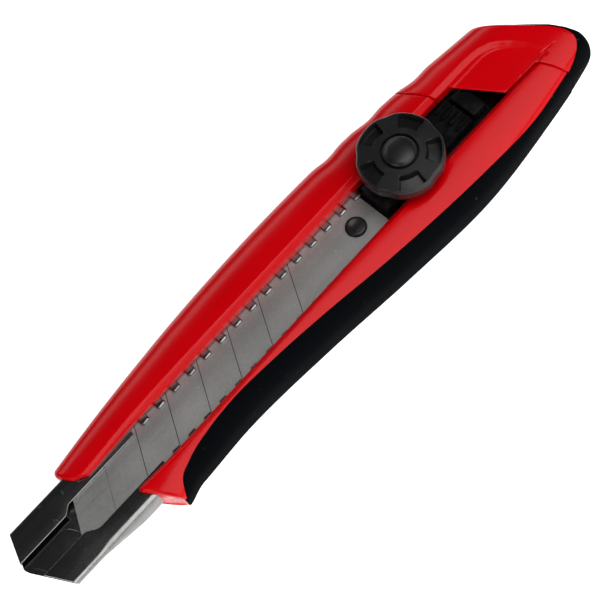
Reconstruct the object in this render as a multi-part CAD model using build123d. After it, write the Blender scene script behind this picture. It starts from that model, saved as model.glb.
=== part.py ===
"""Utility knife: an 18 mm snap-off blade in a toothed steel channel, with a screw-down slider.

Frame, in millimetres: the knife lies on its flat back. X runs from the nose (-X) to the tail (+X),
Y from the cutting edge (-Y) to the spine (+Y) with the blade's centre line at Y = 0, and Z up from
the back face at Z = 0. The origin is on the back face, under the blade's centre line, half way along.
"""
import os
from math import cos, pi, radians, sin, tan

from build123d import *

# Blade: the standard 18 mm snap-off size.
BLADE_WIDTH = 18.0
BLADE_THICK = 0.5
BLADE_FRONT_X = -73.0  # where the slanted front edge crosses the centre line
BLADE_TAIL_X = 23.2
BLADE_HOLE_X = 17.2
BLADE_HOLE_R = 2.6
SCORE_PITCH = 10.0
SCORE_ANGLE = 60.0
SCORE_LINES = 7
SCORE_WIDTH = 0.16
SCORE_DEPTH = 0.12
EDGE_BEVEL = 2.2

# Steel channel: a C-section whose two lips carry the rack teeth.
SHEET = 0.6
CHANNEL_HALF = 9.7
LIP_TOP = 10.5
CHANNEL_BOTTOM = 4.9
NOSE_BOTTOM = 8.5
RAMP_X = (-74.4, -63.0)  # where the floor drops from the thin nose to the deep track
NOSE_PAD = [(-86.6, 2.0), (-76.8, 2.0), (-75.4, -1.5), (-75.4, -8.6), (-82.4, -8.6)]
NOSE_PAD_RISE = 0.14
CHANNEL_TAIL_X = 66.0
LIP_EDGE = 4.3  # half the gap between the lips
NOSE_EDGE = 2.9  # half the gap between the lips at the nose
RACK_PITCH = 5.0
RACK_START_X = -50.94
RACK_NOTCHES = 22
TOOTH_WIDTH = 2.3
NOTCH_FLOOR = 7.0

# Handle: a red casing around the channel, closed by a back cover. Each station is a place along X with the width to the
# spine, the width to the belly, the height of the top and the depth of the back there.
STATIONS = [
    (-72.0, 12.4, -12.2, 12.1, 3.0),
    (-52.0, 15.0, -13.9, 13.0, 1.5),
    (-32.0, 16.9, -12.4, 13.8, -0.5),
    (-7.0, 18.0, -13.8, 14.3, -1.0),
    (18.0, 18.1, -16.2, 14.7, -1.0),
    (43.0, 16.9, -17.4, 14.7, -1.0),
    (68.0, 14.5, -15.4, 14.6, -1.0),
    (93.0, 11.6, -11.0, 14.4, -1.0),
]
CORNERS = (0.28, 0.28, 0.42, 0.32)  # rounding over height: back belly, back spine, top spine, top belly
COVER_TOP = 2.4
WALL = 2.2
WINDOW_HALF = 5.9
WINDOW_BEVEL = 1.3
CHANNEL_GAP = 0.05
SIDE_WALL_Y = 11.6  # the wall between the channel and the side pockets ends here
RUBBER = 1.5
THUMB_DIPS_X = (25.5, 38.5, 53.0)
THUMB_DIP_RADIUS = 14.0
THUMB_DIP_DEPTH = 0.55

# Plan outlines of the handle's ends and joints, as X, Y.
NOSE_CUT = [(-69.4, 25.0), (-69.4, 11.2), (-68.4, 8.6), (-66.2, 6.6), (-63.0, 5.6),
            (-58.8, -6.8), (-56.6, -10.6), (-53.6, -15.5), (-53.6, -25.0)]
TAIL_CORNERS = [(40.0, 25.0), (64.4, 25.0), (73.5, 13.4), (88.6, -5.2), (87.2, -11.0), (70.0, -16.2),
                (70.0, -25.0), (40.0, -25.0)]
TAIL_RADII = [0.1, 0.1, 1.5, 5.0, 4.0, 3.0, 0.1, 0.1]
SEAM = [(46.0, 25.0), (47.8, 13.5), (51.3, 5.9), (72.6, -5.9), (76.3, -13.2), (76.3, -25.0)]
SEAM_GAP = 0.2
PANEL_FRONT = [(55.4, 5.9), (62.8, -5.7)]
PANEL_RECESS = [(50.0, 4.5), (67.8, 4.6), (70.7, 3.1), (74.6, -1.9), (76.0, -4.9), (71.7, -5.2), (50.0, -5.2)]
PANEL_Z = 13.7
COVER_PLAN = [(-34.0, -6.6), (-34.0, 11.0), (-27.0, 13.6), (-8.0, 15.0), (20.0, 15.0), (43.5, 13.2),
              (48.5, 4.5), (68.5, -7.2), (70.0, -10.6), (62.0, -12.4), (48.0, -13.8), (36.0, -13.4),
              (13.0, -10.8), (-3.0, -8.7), (-19.0, -7.2)]
GRIP_EDGE = [(-54.2, -15.5), (-51.0, -11.4), (-47.0, -9.7), (-39.0, -8.2), (-31.0, -7.7), (-19.0, -8.3),
             (-3.0, -9.9), (13.0, -12.0), (29.0, -13.6), (45.0, -14.6), (61.0, -14.6), (79.0, -12.0)]
RIM_EDGE = [(76.4, -13.0), (80.5, -11.2), (84.0, -9.6), (85.6, -6.8), (84.4, -3.0), (81.4, 1.4), (74.0, 11.6)]

# Slider: a carriage in the channel, a toothed lock plate on a stud, and the knob that lifts it.
KNOB_X = 33.9
CARRIAGE_X = (12.6, 59.0)
CARRIAGE_HALF = 8.9
CARRIAGE_Z = (5.6, 9.75)
ARM_Z = 9.2
NECK_HALF = 4.1
NECK_X = (24.0, 53.0)
NECK_TOP = 13.5
POCKET_X = (27.6, 40.8)
POCKET_FLOOR = 6.6
RIB_X = (48.6, 52.8)
RIB_TOP = 14.1
TAIL_GUIDE_X = (54.0, 58.0)
TAIL_GUIDE_TOP = 13.1
STUD_R = 1.95
THREAD_PITCH = 0.8
PLATE_Z = (7.9, 9.2)
PLATE_HALF = 8.7
PLATE_X = (28.2, 40.2)
TOOTH_TOP = 9.8
WASHER_Z = (13.5, 14.1)
KNOB_R = 10.1
HUB_R = 5.3
HUB_Z = 14.15
KNOB_Z = (17.4, 21.4)
NUT_Z = (14.5, 17.9)
NUT_ACROSS = 7.0
CAP_R = 4.0
CAP_Z = (20.4, 23.1)
RECESSES = 5
RECESS_PHASE = -47.0
RECESS_FLOOR = 19.2
RUNNING = 0.06

SCREWS = [(-28.0, 11.9), (2.0, 13.0), (34.0, 12.4), (42.0, -11.7)]
SCREW_R = 1.1
POST_HALF = 2.8
SCREW_HEAD_R = 1.7
SCREW_HEAD_Z = (0.4, 1.5)
RIVETS_X = (-38.0, 10.0)
RIVET_HEAD_Z = (CHANNEL_BOTTOM, CHANNEL_BOTTOM + SHEET)


def block(x, y, z):
    """Box between two limits on each axis."""
    middle = [(low + high) / 2 for low, high in (x, y, z)]
    return Pos(*middle) * Box(x[1] - x[0], y[1] - y[0], z[1] - z[0])


def disc(x, y, radius, z):
    """Upright cylinder between two heights."""
    return Pos(x, y, (z[0] + z[1]) / 2) * Cylinder(radius, z[1] - z[0])


def prism(points, z):
    """Straight-sided outline extruded between two heights."""
    outline = make_face(Polyline(*points, close=True))
    return Pos(0, 0, z[0]) * extrude(outline, z[1] - z[0], dir=(0, 0, 1))


def side_prism(points, half_width):
    """Outline in X and Z extruded equally to both sides of Y = 0."""
    outline = make_face(Polyline(*[(x, 0, z) for x, z in points], close=True))
    return extrude(outline, half_width, dir=(0, 1, 0), both=True)


def turned(points, x):
    """Outline of radius and height turned about the upright axis at x."""
    outline = make_face(Polyline(*[(radius, 0, z) for radius, z in points], close=True))
    return Pos(x, 0, 0) * revolve(outline, Axis.Z)


# Handle -----------------------------------------------------------------------------------------

def section(station, inset):
    """Rounded cross-section of the handle at one station, pulled in on every side."""
    x, spine, belly, top, back = station
    corners = [(belly + inset, back + inset), (spine - inset, back + inset),
               (spine - inset, top - inset), (belly + inset, top - inset)]
    radii = [max(share * (top - back) - inset, 0.5) for share in CORNERS]
    across = Plane(origin=(x, 0, 0), x_dir=(0, 1, 0), z_dir=(1, 0, 0))
    return across * make_face(FilletPolyline(*corners, radius=radii, close=True))


def handle_form(inset=0.0):
    """The handle's outer form, or the same form pulled in by a wall's thickness."""
    form = loft([section(station, inset) for station in STATIONS])
    floor = block((-100, 100), (-30, 30), (inset, 40))
    return form & floor


def seam_region(shift):
    """Everything behind the joint between the casing and the end cap."""
    line = [(x + shift, y) for x, y in SEAM]
    return prism(line + [(100, -25.0), (100, 25.0)], (-5, 30))


def tail_region():
    """Plan of the handle's tail, with its rounded corners."""
    outline = FilletPolyline(*TAIL_CORNERS, radius=TAIL_RADII, close=True)
    return Pos(0, 0, -5) * extrude(make_face(outline), 35, dir=(0, 0, 1))


def window():
    """The slot over the channel's lips, flared at its top edge, for every station."""
    slices = []
    for x, _, _, top, _ in STATIONS:
        right = [(WINDOW_HALF, LIP_TOP - SHEET), (WINDOW_HALF, top - WINDOW_BEVEL),
                 (WINDOW_HALF + WINDOW_BEVEL + 3, top + 3)]
        left = [(-y, z) for y, z in reversed(right)]
        across = Plane(origin=(x, 0, 0), x_dir=(0, 1, 0), z_dir=(1, 0, 0))
        slices.append(across * make_face(Polyline(*(right + left), close=True)))
    return loft(slices)


def knob_scoop():
    """Cone cut round the parked knob, so that fingers reach under its rim."""
    return turned([(0, 12.9), (6.5, 12.9), (11.2, 14.9), (11.2, 18), (0, 18)], KNOB_X)


def thumb_dips(spine_at):
    """Shallow upright hollows along the spine."""
    dips = Part()
    for x, spine in zip(THUMB_DIPS_X, spine_at):
        dips += disc(x, spine + THUMB_DIP_RADIUS - THUMB_DIP_DEPTH, THUMB_DIP_RADIUS, (-5, 30))
    return dips


def channel_room():
    """The space that the channel fills inside the handle, with its running gap."""
    half = CHANNEL_HALF + CHANNEL_GAP
    return block((-95, 80), (-half, half), (CHANNEL_BOTTOM, LIP_TOP + CHANNEL_GAP))


def grip_region():
    """Plan of the rubber on the belly."""
    edge = Spline(*GRIP_EDGE)
    close = Polyline(GRIP_EDGE[-1], (79.0, -25.0), (-54.2, -25.0), GRIP_EDGE[0])
    return Pos(0, 0, -5) * extrude(make_face(edge + close), 35, dir=(0, 0, 1))


def casing_block(form):
    """Casing with the window, the channel's room and the cap cut away."""
    nose = prism(NOSE_CUT + [(90.0, -25.0), (90.0, 25.0)], (-5, 30))
    casing = form & nose
    casing -= seam_region(0)
    casing -= window()
    casing -= channel_room()
    casing -= knob_scoop()
    return casing - thumb_dips((17.9, 17.1, 16.0))


def pockets():
    """The hollows beside the channel, open to the back cover, with the screw posts left standing."""
    inner = handle_form(WALL)
    spine_side = inner & block((-32, 36), (SIDE_WALL_Y, 25), (COVER_TOP, 12))
    belly_side = handle_form(WALL + RUBBER) & block((8, 60), (-25, -SIDE_WALL_Y), (COVER_TOP, 12))
    hollows = spine_side + belly_side
    for x, y in SCREWS:
        reach = (y - POST_HALF, 25) if y > 0 else (-25, y + POST_HALF)
        hollows -= block((x - POST_HALF, x + POST_HALF), reach, (0, 20))
    return hollows


def cap_sockets():
    """Sockets in the casing for the end cap's two tongues."""
    spine_socket = block((38.8, 52), (11.0, 13.0), (3.0, 10.0))
    belly_socket = block((64.5, 77), (-12.4, -10.4), (4.0, 9.4))
    return spine_socket + belly_socket


def screw_room():
    """Clearance holes, pilot holes and head seats for the casing screws."""
    room = Part()
    for x, y in SCREWS:
        room += disc(x, y, SCREW_R, (0, 11.0))
        room += disc(x, y, SCREW_HEAD_R, (-1, SCREW_HEAD_Z[1]))
    return room


def make_casing_screws():
    screws = Part()
    for x, y in SCREWS:
        screw = disc(x, y, SCREW_R, (SCREW_HEAD_Z[0], 10.8)) + disc(x, y, SCREW_HEAD_R, SCREW_HEAD_Z)
        screw -= block((x - 1.2, x + 1.2), (y - 0.25, y + 0.25), (0, 1.0))
        screw -= block((x - 0.25, x + 0.25), (y - 1.2, y + 1.2), (0, 1.0))
        screws += screw
    return screws


def make_channel_rivets():
    """Flush rivets that hold the channel's floor to the back casing."""
    rivets = Part()
    for x in RIVETS_X:
        rivets += disc(x, 0, 1.5, (COVER_TOP + 0.2, CHANNEL_BOTTOM)) + disc(x, 0, 2.6, RIVET_HEAD_Z)
    return rivets


def rivet_holes():
    holes = Part()
    for x in RIVETS_X:
        holes += disc(x, 0, 1.5, (COVER_TOP + 0.2, CHANNEL_BOTTOM)) + disc(x, 0, 2.6, RIVET_HEAD_Z)
    return holes


# Channel and blade --------------------------------------------------------------------------------

def channel_plan():
    """Pointed plan of the channel's nose, reaching back to its tail."""
    half = CHANNEL_HALF
    nose = [(CHANNEL_TAIL_X, half), (-85.0, half), (-87.6, 3.7), (-88.4, 1.7), (-88.2, 0.9), (-82.3, -half),
            (CHANNEL_TAIL_X, -half)]
    return prism(nose, (0, 20))


def make_channel():
    """Folded C-section with a thin pointed nose, a ramped floor and rack teeth on both lips."""
    ramp_start, ramp_end = RAMP_X
    outer = [(-90, LIP_TOP), (-90, NOSE_BOTTOM), (ramp_start, NOSE_BOTTOM), (ramp_end, CHANNEL_BOTTOM),
             (CHANNEL_TAIL_X, CHANNEL_BOTTOM), (CHANNEL_TAIL_X, LIP_TOP)]
    inner = [(-91, LIP_TOP - SHEET), (-91, NOSE_BOTTOM + SHEET), (ramp_start, NOSE_BOTTOM + SHEET),
             (ramp_end + 0.2, CHANNEL_BOTTOM + SHEET), (CHANNEL_TAIL_X + 1, CHANNEL_BOTTOM + SHEET),
             (CHANNEL_TAIL_X + 1, LIP_TOP - SHEET)]
    shell = side_prism(outer, CHANNEL_HALF)
    shell = fillet(shell.edges().filter_by(Axis.X).group_by(Axis.Z)[-1], 1.0)
    channel = (shell & channel_plan()) - side_prism(inner, CHANNEL_HALF - SHEET)
    channel += prism(NOSE_PAD, (NOSE_BOTTOM + SHEET / 2, NOSE_BOTTOM + SHEET + NOSE_PAD_RISE))
    gap = [(-95, NOSE_EDGE), (-73.8, NOSE_EDGE), (-71.8, LIP_EDGE), (90, LIP_EDGE),
           (90, -LIP_EDGE), (-70.8, -LIP_EDGE), (-73.4, -NOSE_EDGE), (-95, -NOSE_EDGE)]
    channel -= prism(gap, (LIP_TOP - SHEET - 0.1, LIP_TOP + 1))
    notch = RACK_PITCH - TOOTH_WIDTH
    for step in range(RACK_NOTCHES):
        x = RACK_START_X + RACK_PITCH * step
        channel -= block((x, x + notch), (-NOTCH_FLOOR, NOTCH_FLOOR), (LIP_TOP - SHEET - 0.1, LIP_TOP + 1))
    return channel - rivet_holes()


def make_blade():
    """Blade with a slanted front, a bevelled edge, score lines and the hole for the slider's peg."""
    half = BLADE_WIDTH / 2
    z = (LIP_TOP - SHEET - 0.1 - BLADE_THICK, LIP_TOP - SHEET - 0.1)
    lean = half / tan(radians(SCORE_ANGLE))
    outline = [(BLADE_FRONT_X + lean, half), (BLADE_FRONT_X - lean, -half), (BLADE_TAIL_X - 2, -half),
               (BLADE_TAIL_X, -half + 3), (BLADE_TAIL_X, half - 3), (BLADE_TAIL_X - 2, half)]
    blade = prism(outline, z) - disc(BLADE_HOLE_X, 0, BLADE_HOLE_R, (z[0] - 1, z[1] + 1))
    for step in range(1, SCORE_LINES + 1):
        middle = (BLADE_FRONT_X + SCORE_PITCH * step, 0, z[1])
        groove = Box(BLADE_WIDTH * 1.3, SCORE_WIDTH, 2 * SCORE_DEPTH)
        blade -= Pos(*middle) * Rot(0, 0, SCORE_ANGLE) * groove
    middle_z = (z[0] + z[1]) / 2
    for side in (1, -1):
        face = middle_z + side * BLADE_THICK / 2
        wedge = [(-half - 0.1, middle_z + side * 0.03), (-half + EDGE_BEVEL, face),
                 (-half + EDGE_BEVEL, face + side), (-half - 0.1, face + side)]
        outline = make_face(Polyline(*[(-95, y, height) for y, height in wedge], close=True))
        blade -= extrude(outline, 130, dir=(1, 0, 0))
    return blade


# Slider -------------------------------------------------------------------------------------------

def make_carriage():
    """Plastic slider: an arm under the blade, a pocket for the lock plate and a ribbed neck on top."""
    x0, x1 = CARRIAGE_X
    low, high = CARRIAGE_Z
    side = (-CARRIAGE_HALF, CARRIAGE_HALF)
    carriage = block((x0, BLADE_TAIL_X + 0.3), side, (low, ARM_Z))
    carriage += block((BLADE_TAIL_X + 0.3, x1), side, (low, high))
    carriage -= block(POCKET_X, (-10, 10), (POCKET_FLOOR, high + 1))
    neck_side = (-NECK_HALF, NECK_HALF)
    carriage += block(NECK_X, neck_side, (high, NECK_TOP))
    carriage -= block((POCKET_X[1], NECK_X[1]), neck_side, (NECK_TOP - 0.5, NECK_TOP + 1))
    for y in (-3.3, -1.1, 1.1, 3.3):
        carriage += block(RIB_X, (y - 0.25, y + 0.25), (NECK_TOP - 0.5, RIB_TOP))
    carriage -= disc(KNOB_X, 0, STUD_R + RUNNING, (9, 20))
    carriage -= disc(KNOB_X, 0, 3.5, (high - 0.1, 11.2))
    return carriage - disc(BLADE_HOLE_X, 0, 1.5, (low - 1, ARM_Z + 1))


def make_blade_peg():
    """Domed peg that stands in the carriage's arm and carries the blade by its hole."""
    head = disc(BLADE_HOLE_X, 0, BLADE_HOLE_R - 0.15, (ARM_Z, LIP_TOP + 0.2))
    head = chamfer(head.edges().group_by(Axis.Z)[-1], 0.5)
    return head + disc(BLADE_HOLE_X, 0, 1.5, (CARRIAGE_Z[0], ARM_Z))


def make_tail_guide():
    """Low guide block behind the ribs, with the corner next to the cap cut off."""
    x0, x1 = TAIL_GUIDE_X
    outline = [(x0, -3.7), (x1, -3.7), (x1, 1.4), (x1 - 1.8, 3.7), (x0, 3.7)]
    return prism(outline, (CARRIAGE_Z[1], TAIL_GUIDE_TOP))


def make_lock_plate():
    """Steel plate under the lips, with teeth that rise into the rack's notches."""
    plate = block(PLATE_X, (-PLATE_HALF, PLATE_HALF), PLATE_Z)
    notch = RACK_PITCH - TOOTH_WIDTH
    for step in (16, 17):
        x = RACK_START_X + RACK_PITCH * step
        for y in ((4.5, 6.7), (-6.7, -4.5)):
            plate += block((x + 0.35, x + notch - 0.35), y, (PLATE_Z[1], TOOTH_TOP))
    return plate - disc(KNOB_X, 0, STUD_R, (7, 10))


def make_clamp_stud():
    shank = disc(KNOB_X, 0, STUD_R, (PLATE_Z[0], 19.8))
    neck = disc(KNOB_X, 0, STUD_R, (18.8, 19.3)) - disc(KNOB_X, 0, 1.5, (18.8, 19.3))
    return shank + disc(KNOB_X, 0, 3.2, (PLATE_Z[0] - 0.9, PLATE_Z[0])) - neck


def make_stud_clip():
    """Open retaining ring in the groove at the stud's top."""
    ring = disc(KNOB_X, 0, 3.0, (18.8, 19.3)) - disc(KNOB_X, 0, 1.5, (18, 20))
    return ring - block((KNOB_X - 1.1, KNOB_X + 1.1), (-4, -0.5), (18, 20))


def make_release_spring():
    """Wave washer that pushes the lock plate away from the lips."""
    return disc(KNOB_X, 0, 3.3, (PLATE_Z[1], 11.2)) - disc(KNOB_X, 0, 2.3, (9, 12))


def make_knob_washer():
    return disc(KNOB_X, 0, 4.0, WASHER_Z) - disc(KNOB_X, 0, 2.3, (13, 15))


def hexagon(across, z):
    radius = across / 2 / cos(pi / 6)
    return Pos(KNOB_X, 0, z[0]) * extrude(RegularPolygon(radius, 6), z[1] - z[0], dir=(0, 0, 1))


def make_knob():
    """Five-armed knob on a hub, hollow for the nut, the stud's end and the centre cap."""
    low, high = KNOB_Z
    profile = [(2.3, HUB_Z), (HUB_R, HUB_Z), (HUB_R, low), (KNOB_R - 0.7, low), (KNOB_R, low + 0.7),
               (KNOB_R, high - 0.5), (KNOB_R - 0.5, high), (CAP_R + 0.4, high + 0.5), (CAP_R + 0.4, CAP_Z[0]),
               (3.5, CAP_Z[0]), (3.5, NUT_Z[1]), (2.3, NUT_Z[1])]
    knob = turned(profile, KNOB_X) - hexagon(NUT_ACROSS, NUT_Z)
    for step in range(RECESSES):
        angle = RECESS_PHASE + 360 / RECESSES * step
        slot = prism([(5.8, -1.6), (11, -4.0), (11, 4.0), (5.8, 1.6)], (RECESS_FLOOR, high + 1))
        knob -= Pos(KNOB_X, 0, 0) * Rot(0, 0, angle) * slot
        dent = 360 / RECESSES * (step + 0.5) + RECESS_PHASE
        reach = KNOB_R + 2.6
        grip = (KNOB_X + reach * cos(radians(dent)), reach * sin(radians(dent)))
        knob -= disc(*grip, 3.0, (low - 1, high + 1))
    return knob


def make_knob_nut():
    return hexagon(NUT_ACROSS, NUT_Z) - disc(KNOB_X, 0, STUD_R + RUNNING, (14, 18))


def make_knob_cap():
    """Domed disc pressed into the knob's centre over the stud."""
    button = disc(KNOB_X, 0, CAP_R, CAP_Z)
    return fillet(button.edges().group_by(Axis.Z)[-1], 1.2)


# End cap ------------------------------------------------------------------------------------------

def rim_region():
    """Plan of the rubber rim round the tail."""
    edge = Spline(*RIM_EDGE)
    close = Polyline(RIM_EDGE[-1], (74.0, 25.0), (100.0, 25.0), (100.0, -25.0), (76.4, -25.0), RIM_EDGE[0])
    return Pos(0, 0, -5) * extrude(make_face(edge + close), 35, dir=(0, 0, 1))


def cap_block(form):
    """End cap and rim in one piece: the tail, the panel over the window and two tongues."""
    tail = form & tail_region() & seam_region(SEAM_GAP)
    open_track = [(45.0, WINDOW_HALF)] + PANEL_FRONT + [(PANEL_FRONT[1][0], -WINDOW_HALF), (45.0, -WINDOW_HALF)]
    tail -= prism(open_track, (LIP_TOP - SHEET, 30))
    panel = prism(PANEL_FRONT + [(74.5, PANEL_FRONT[1][1]), (74.5, WINDOW_HALF)], (LIP_TOP + 0.1, 30)) & form
    cap = (tail + panel) - block((40, CHANNEL_TAIL_X + 1), (-9.9, 9.9), (CHANNEL_BOTTOM - 0.1, LIP_TOP + 0.15))
    cap -= prism(PANEL_RECESS, (PANEL_Z, 30))
    tongue_spine = block((39.5, 54), (11.2, 12.8), (3.2, 9.8))
    tongue_belly = block((65.5, 77), (-12.2, -10.6), (4.2, 9.2))
    return cap + tongue_spine + tongue_belly


def build():
    """Every sub-part by name."""
    form = handle_form()
    casing = casing_block(form)
    skin = form - handle_form(RUBBER)
    grip = skin & casing & grip_region()
    casing = casing - grip - pockets()
    casing -= screw_room() + rivet_holes() + cap_sockets()
    cap = cap_block(form)
    return {
        "handle_casing": casing - prism(COVER_PLAN, (-1, COVER_TOP)),
        "back_cover": prism(COVER_PLAN, (0, COVER_TOP)) - screw_room(),
        "belly_grip": grip,
        "casing_screws": make_casing_screws(),
        "channel_rivets": make_channel_rivets(),
        "blade_channel": make_channel(),
        "end_cap": cap - rim_region(),
        "end_cap_rim": cap & rim_region(),
        "blade": make_blade(),
        "carriage": make_carriage(),
        "blade_peg": make_blade_peg(),
        "tail_guide": make_tail_guide(),
        "knob_washer": make_knob_washer(),
        "lock_plate": make_lock_plate(),
        "clamp_stud": make_clamp_stud(),
        "stud_clip": make_stud_clip(),
        "release_spring": make_release_spring(),
        "knob": make_knob(),
        "knob_nut": make_knob_nut(),
        "knob_cap": make_knob_cap(),
    }


if __name__ == "__main__":
    os.makedirs("parts", exist_ok=True)
    for name, shape in build().items():
        export_step(shape, f"parts/{name}.step")
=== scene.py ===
"""Looks for the snap-off utility knife: finished casing, grip, cap, channel, blade, slider and knob."""
from math import atan2, cos, pi, radians, sin, tan

import bmesh
import bpy
import numpy as np
from mathutils import Euler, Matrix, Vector
from mathutils.geometry import tessellate_polygon


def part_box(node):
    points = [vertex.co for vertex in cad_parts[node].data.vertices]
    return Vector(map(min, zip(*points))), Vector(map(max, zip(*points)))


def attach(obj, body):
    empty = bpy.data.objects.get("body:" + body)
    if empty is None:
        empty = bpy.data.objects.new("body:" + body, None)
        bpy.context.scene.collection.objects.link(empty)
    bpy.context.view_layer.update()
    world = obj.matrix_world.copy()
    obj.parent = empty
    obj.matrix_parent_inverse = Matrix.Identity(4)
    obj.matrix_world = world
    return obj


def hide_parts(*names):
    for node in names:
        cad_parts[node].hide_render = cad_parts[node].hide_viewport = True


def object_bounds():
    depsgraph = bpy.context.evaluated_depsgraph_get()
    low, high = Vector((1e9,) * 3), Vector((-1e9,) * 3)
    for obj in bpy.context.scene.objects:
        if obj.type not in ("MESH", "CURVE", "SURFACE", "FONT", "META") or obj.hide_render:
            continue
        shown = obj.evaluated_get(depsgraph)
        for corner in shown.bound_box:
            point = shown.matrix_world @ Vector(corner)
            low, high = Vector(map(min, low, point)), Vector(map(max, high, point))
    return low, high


bl_info = {
    "name": "Snap-off Knife Looks",
    "version": (1, 0, 0),
    "blender": (4, 5, 0),
    "location": "View3D > Sidebar > Knife",
    "description": "Builds the finished pieces of a snap-off utility knife round its frame",
    "category": "Object",
}

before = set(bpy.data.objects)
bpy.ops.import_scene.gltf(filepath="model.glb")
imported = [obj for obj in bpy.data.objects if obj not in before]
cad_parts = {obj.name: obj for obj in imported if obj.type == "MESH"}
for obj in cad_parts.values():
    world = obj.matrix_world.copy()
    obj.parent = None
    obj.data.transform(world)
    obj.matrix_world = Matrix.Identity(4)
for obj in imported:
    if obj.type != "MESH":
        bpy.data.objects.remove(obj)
CAD_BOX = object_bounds()
MM = 0.001
WELD = 1e-7  # metres within which points are merged

# Heights and lengths read from the frame, in millimetres.
CHANNEL_LOW, CHANNEL_HIGH = (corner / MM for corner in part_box("blade_channel"))
BLADE_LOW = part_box("blade")[0] / MM
KNOB_LOW, KNOB_HIGH = (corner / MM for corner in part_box("knob"))
CAP_DISC_LOW, CAP_DISC_HIGH = (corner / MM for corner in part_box("knob_cap"))
PEG_LOW, PEG_HIGH = (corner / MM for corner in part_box("blade_peg"))
LIP_TOP = CHANNEL_HIGH.z
CHANNEL_HALF = CHANNEL_HIGH.y
KNOB_X = (KNOB_LOW.x + KNOB_HIGH.x) / 2
KNOB_R = (KNOB_HIGH.x - KNOB_LOW.x) / 2

SHEET = 0.6  # thickness of the channel's sheet
ROOM_GAP = 0.05  # room between the channel and the casing round it
ROOM_HALF = CHANNEL_HALF + ROOM_GAP
ROOM_TOP = LIP_TOP + ROOM_GAP
ROOM_POINTS = 13  # points of the channel's room in a section of the casing
BACK_FLOOR = 0.15  # lowest height of the casing's and the cap's back

# The blade: half its width, the lean of its edge and its score lines, and where those lines start and end.
BLADE_HALF = 9.0
BLADE_LEAN = radians(60.0)
BLADE_FRONT_X = BLADE_LOW.x + BLADE_HALF / tan(BLADE_LEAN)
SCORE_PITCH = 10.0
SCORE_START_X = BLADE_FRONT_X + 5.0
SCORE_END_X = 2.0
SCORE_FADE_X = (-62.0, -58.0)

# The rack: where the lips narrow to it, the first tooth's centre, the teeth a side and their pitch.
RACK_FRONT_X, RACK_BACK_X = -50.93, 56.77
TOOTH_START_X = -47.09
TOOTH_COUNT = 19
TOOTH_PITCH = 5.0
KNOB_ARMS = 5

# The tail rim: its sections, and how far it stands out of the cap upwards and sideways.
RIM_SPOTS = 160
RIM_PROUD, RIM_SWELL = 0.22, 0.3

# Roundness of the handle's top and back, where a larger power is flatter.
TOP_POWER, BACK_POWER = 3.1, 4.0

# The dish in the casing round the parked knob: its floor, its flat part, its slope and its reach.
DISH_FLOOR, DISH_FLAT, DISH_SLOPE, DISH_REACH = 12.9, 6.5, 0.426, 11.2
COVER_LEVELS = (-2.0, 2.45)  # lower and upper end of the hollow for the back cover

# The handle's form: place along X, width to the spine, width to the belly, top and back heights.
STATIONS = np.array([
    (-72.0, 12.4, -12.2, 12.1, 3.0),
    (-52.0, 15.0, -13.1, 13.0, 1.5),
    (-32.0, 16.9, -11.8, 13.8, -0.5),
    (-7.0, 18.0, -13.2, 14.3, -1.0),
    (18.0, 17.8, -15.7, 14.7, -1.0),
    (43.0, 16.4, -17.2, 14.7, -1.0),
    (68.0, 13.6, -14.75, 14.6, -1.0),
    (93.0, 10.9, -10.6, 14.4, -1.0),
])
WINDOW_HALF = 5.9
BEVEL = 1.3
NOSE_CUT = [(-69.4, 25.0), (-69.4, 11.2), (-68.7, 9.4), (-67.9, 7.9), (-66.9, 6.6), (-65.7, 5.7),
            (-63.9, 5.1), (-59.2, -4.5), (-59.0, -6.6), (-58.0, -8.4), (-56.6, -10.6), (-53.6, -15.5),
            (-53.6, -25.0)]
SEAM = [(46.0, 25.0), (47.8, 13.5), (51.3, 5.9), (72.6, -5.9), (76.3, -13.2), (76.3, -25.0)]
PANEL_FRONT = [(55.4, 5.9), (62.8, -5.7)]
PANEL = [(45.0, 4.9), (66.2, 4.9), (68.3, 4.5), (70.3, 3.4), (72.3, 1.4), (74.2, -1.2), (75.6, -4.4),
         (75.9, -6.4), (45.0, -6.4)]
RIDGE = [(45.0, 7.2), (62.0, 7.2), (65.0, 7.05), (67.6, 6.5), (69.9, 5.5), (71.8, 4.0), (73.6, 1.8),
         (75.4, -1.4), (76.6, -4.4), (77.0, -6.6), (45.0, -6.6)]
RIM_EDGE = [(76.45, -12.6), (79.2, -11.7), (81.9, -10.3), (83.3, -8.6), (83.4, -6.6), (82.6, -4.2),
            (80.4, -0.4), (77.2, 4.4), (73.2, 11.0)]
COVER_PLAN = [(-34.0, -6.6), (-34.0, 11.0), (-27.0, 13.6), (-8.0, 15.0), (20.0, 15.0), (43.5, 13.2),
              (48.5, 4.5), (68.5, -7.2), (70.0, -10.6), (62.0, -12.4), (48.0, -13.8), (36.0, -13.4),
              (13.0, -10.8), (-3.0, -8.7), (-19.0, -7.2)]
GRIP_EDGE = [(-54.2, -15.5), (-51.0, -11.4), (-47.0, -9.7), (-39.0, -8.2), (-31.0, -7.7), (-19.0, -8.3),
             (-3.0, -9.9), (13.0, -12.0), (29.0, -13.6), (45.0, -14.6), (61.0, -14.6), (79.0, -12.0)]
THUMB_DIPS = (25.5, 38.5, 53.0)
FINGER_DIP_X, FINGER_DIP_REACH, FINGER_DIP_DEPTH = -55.0, 7.0, 1.5

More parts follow.
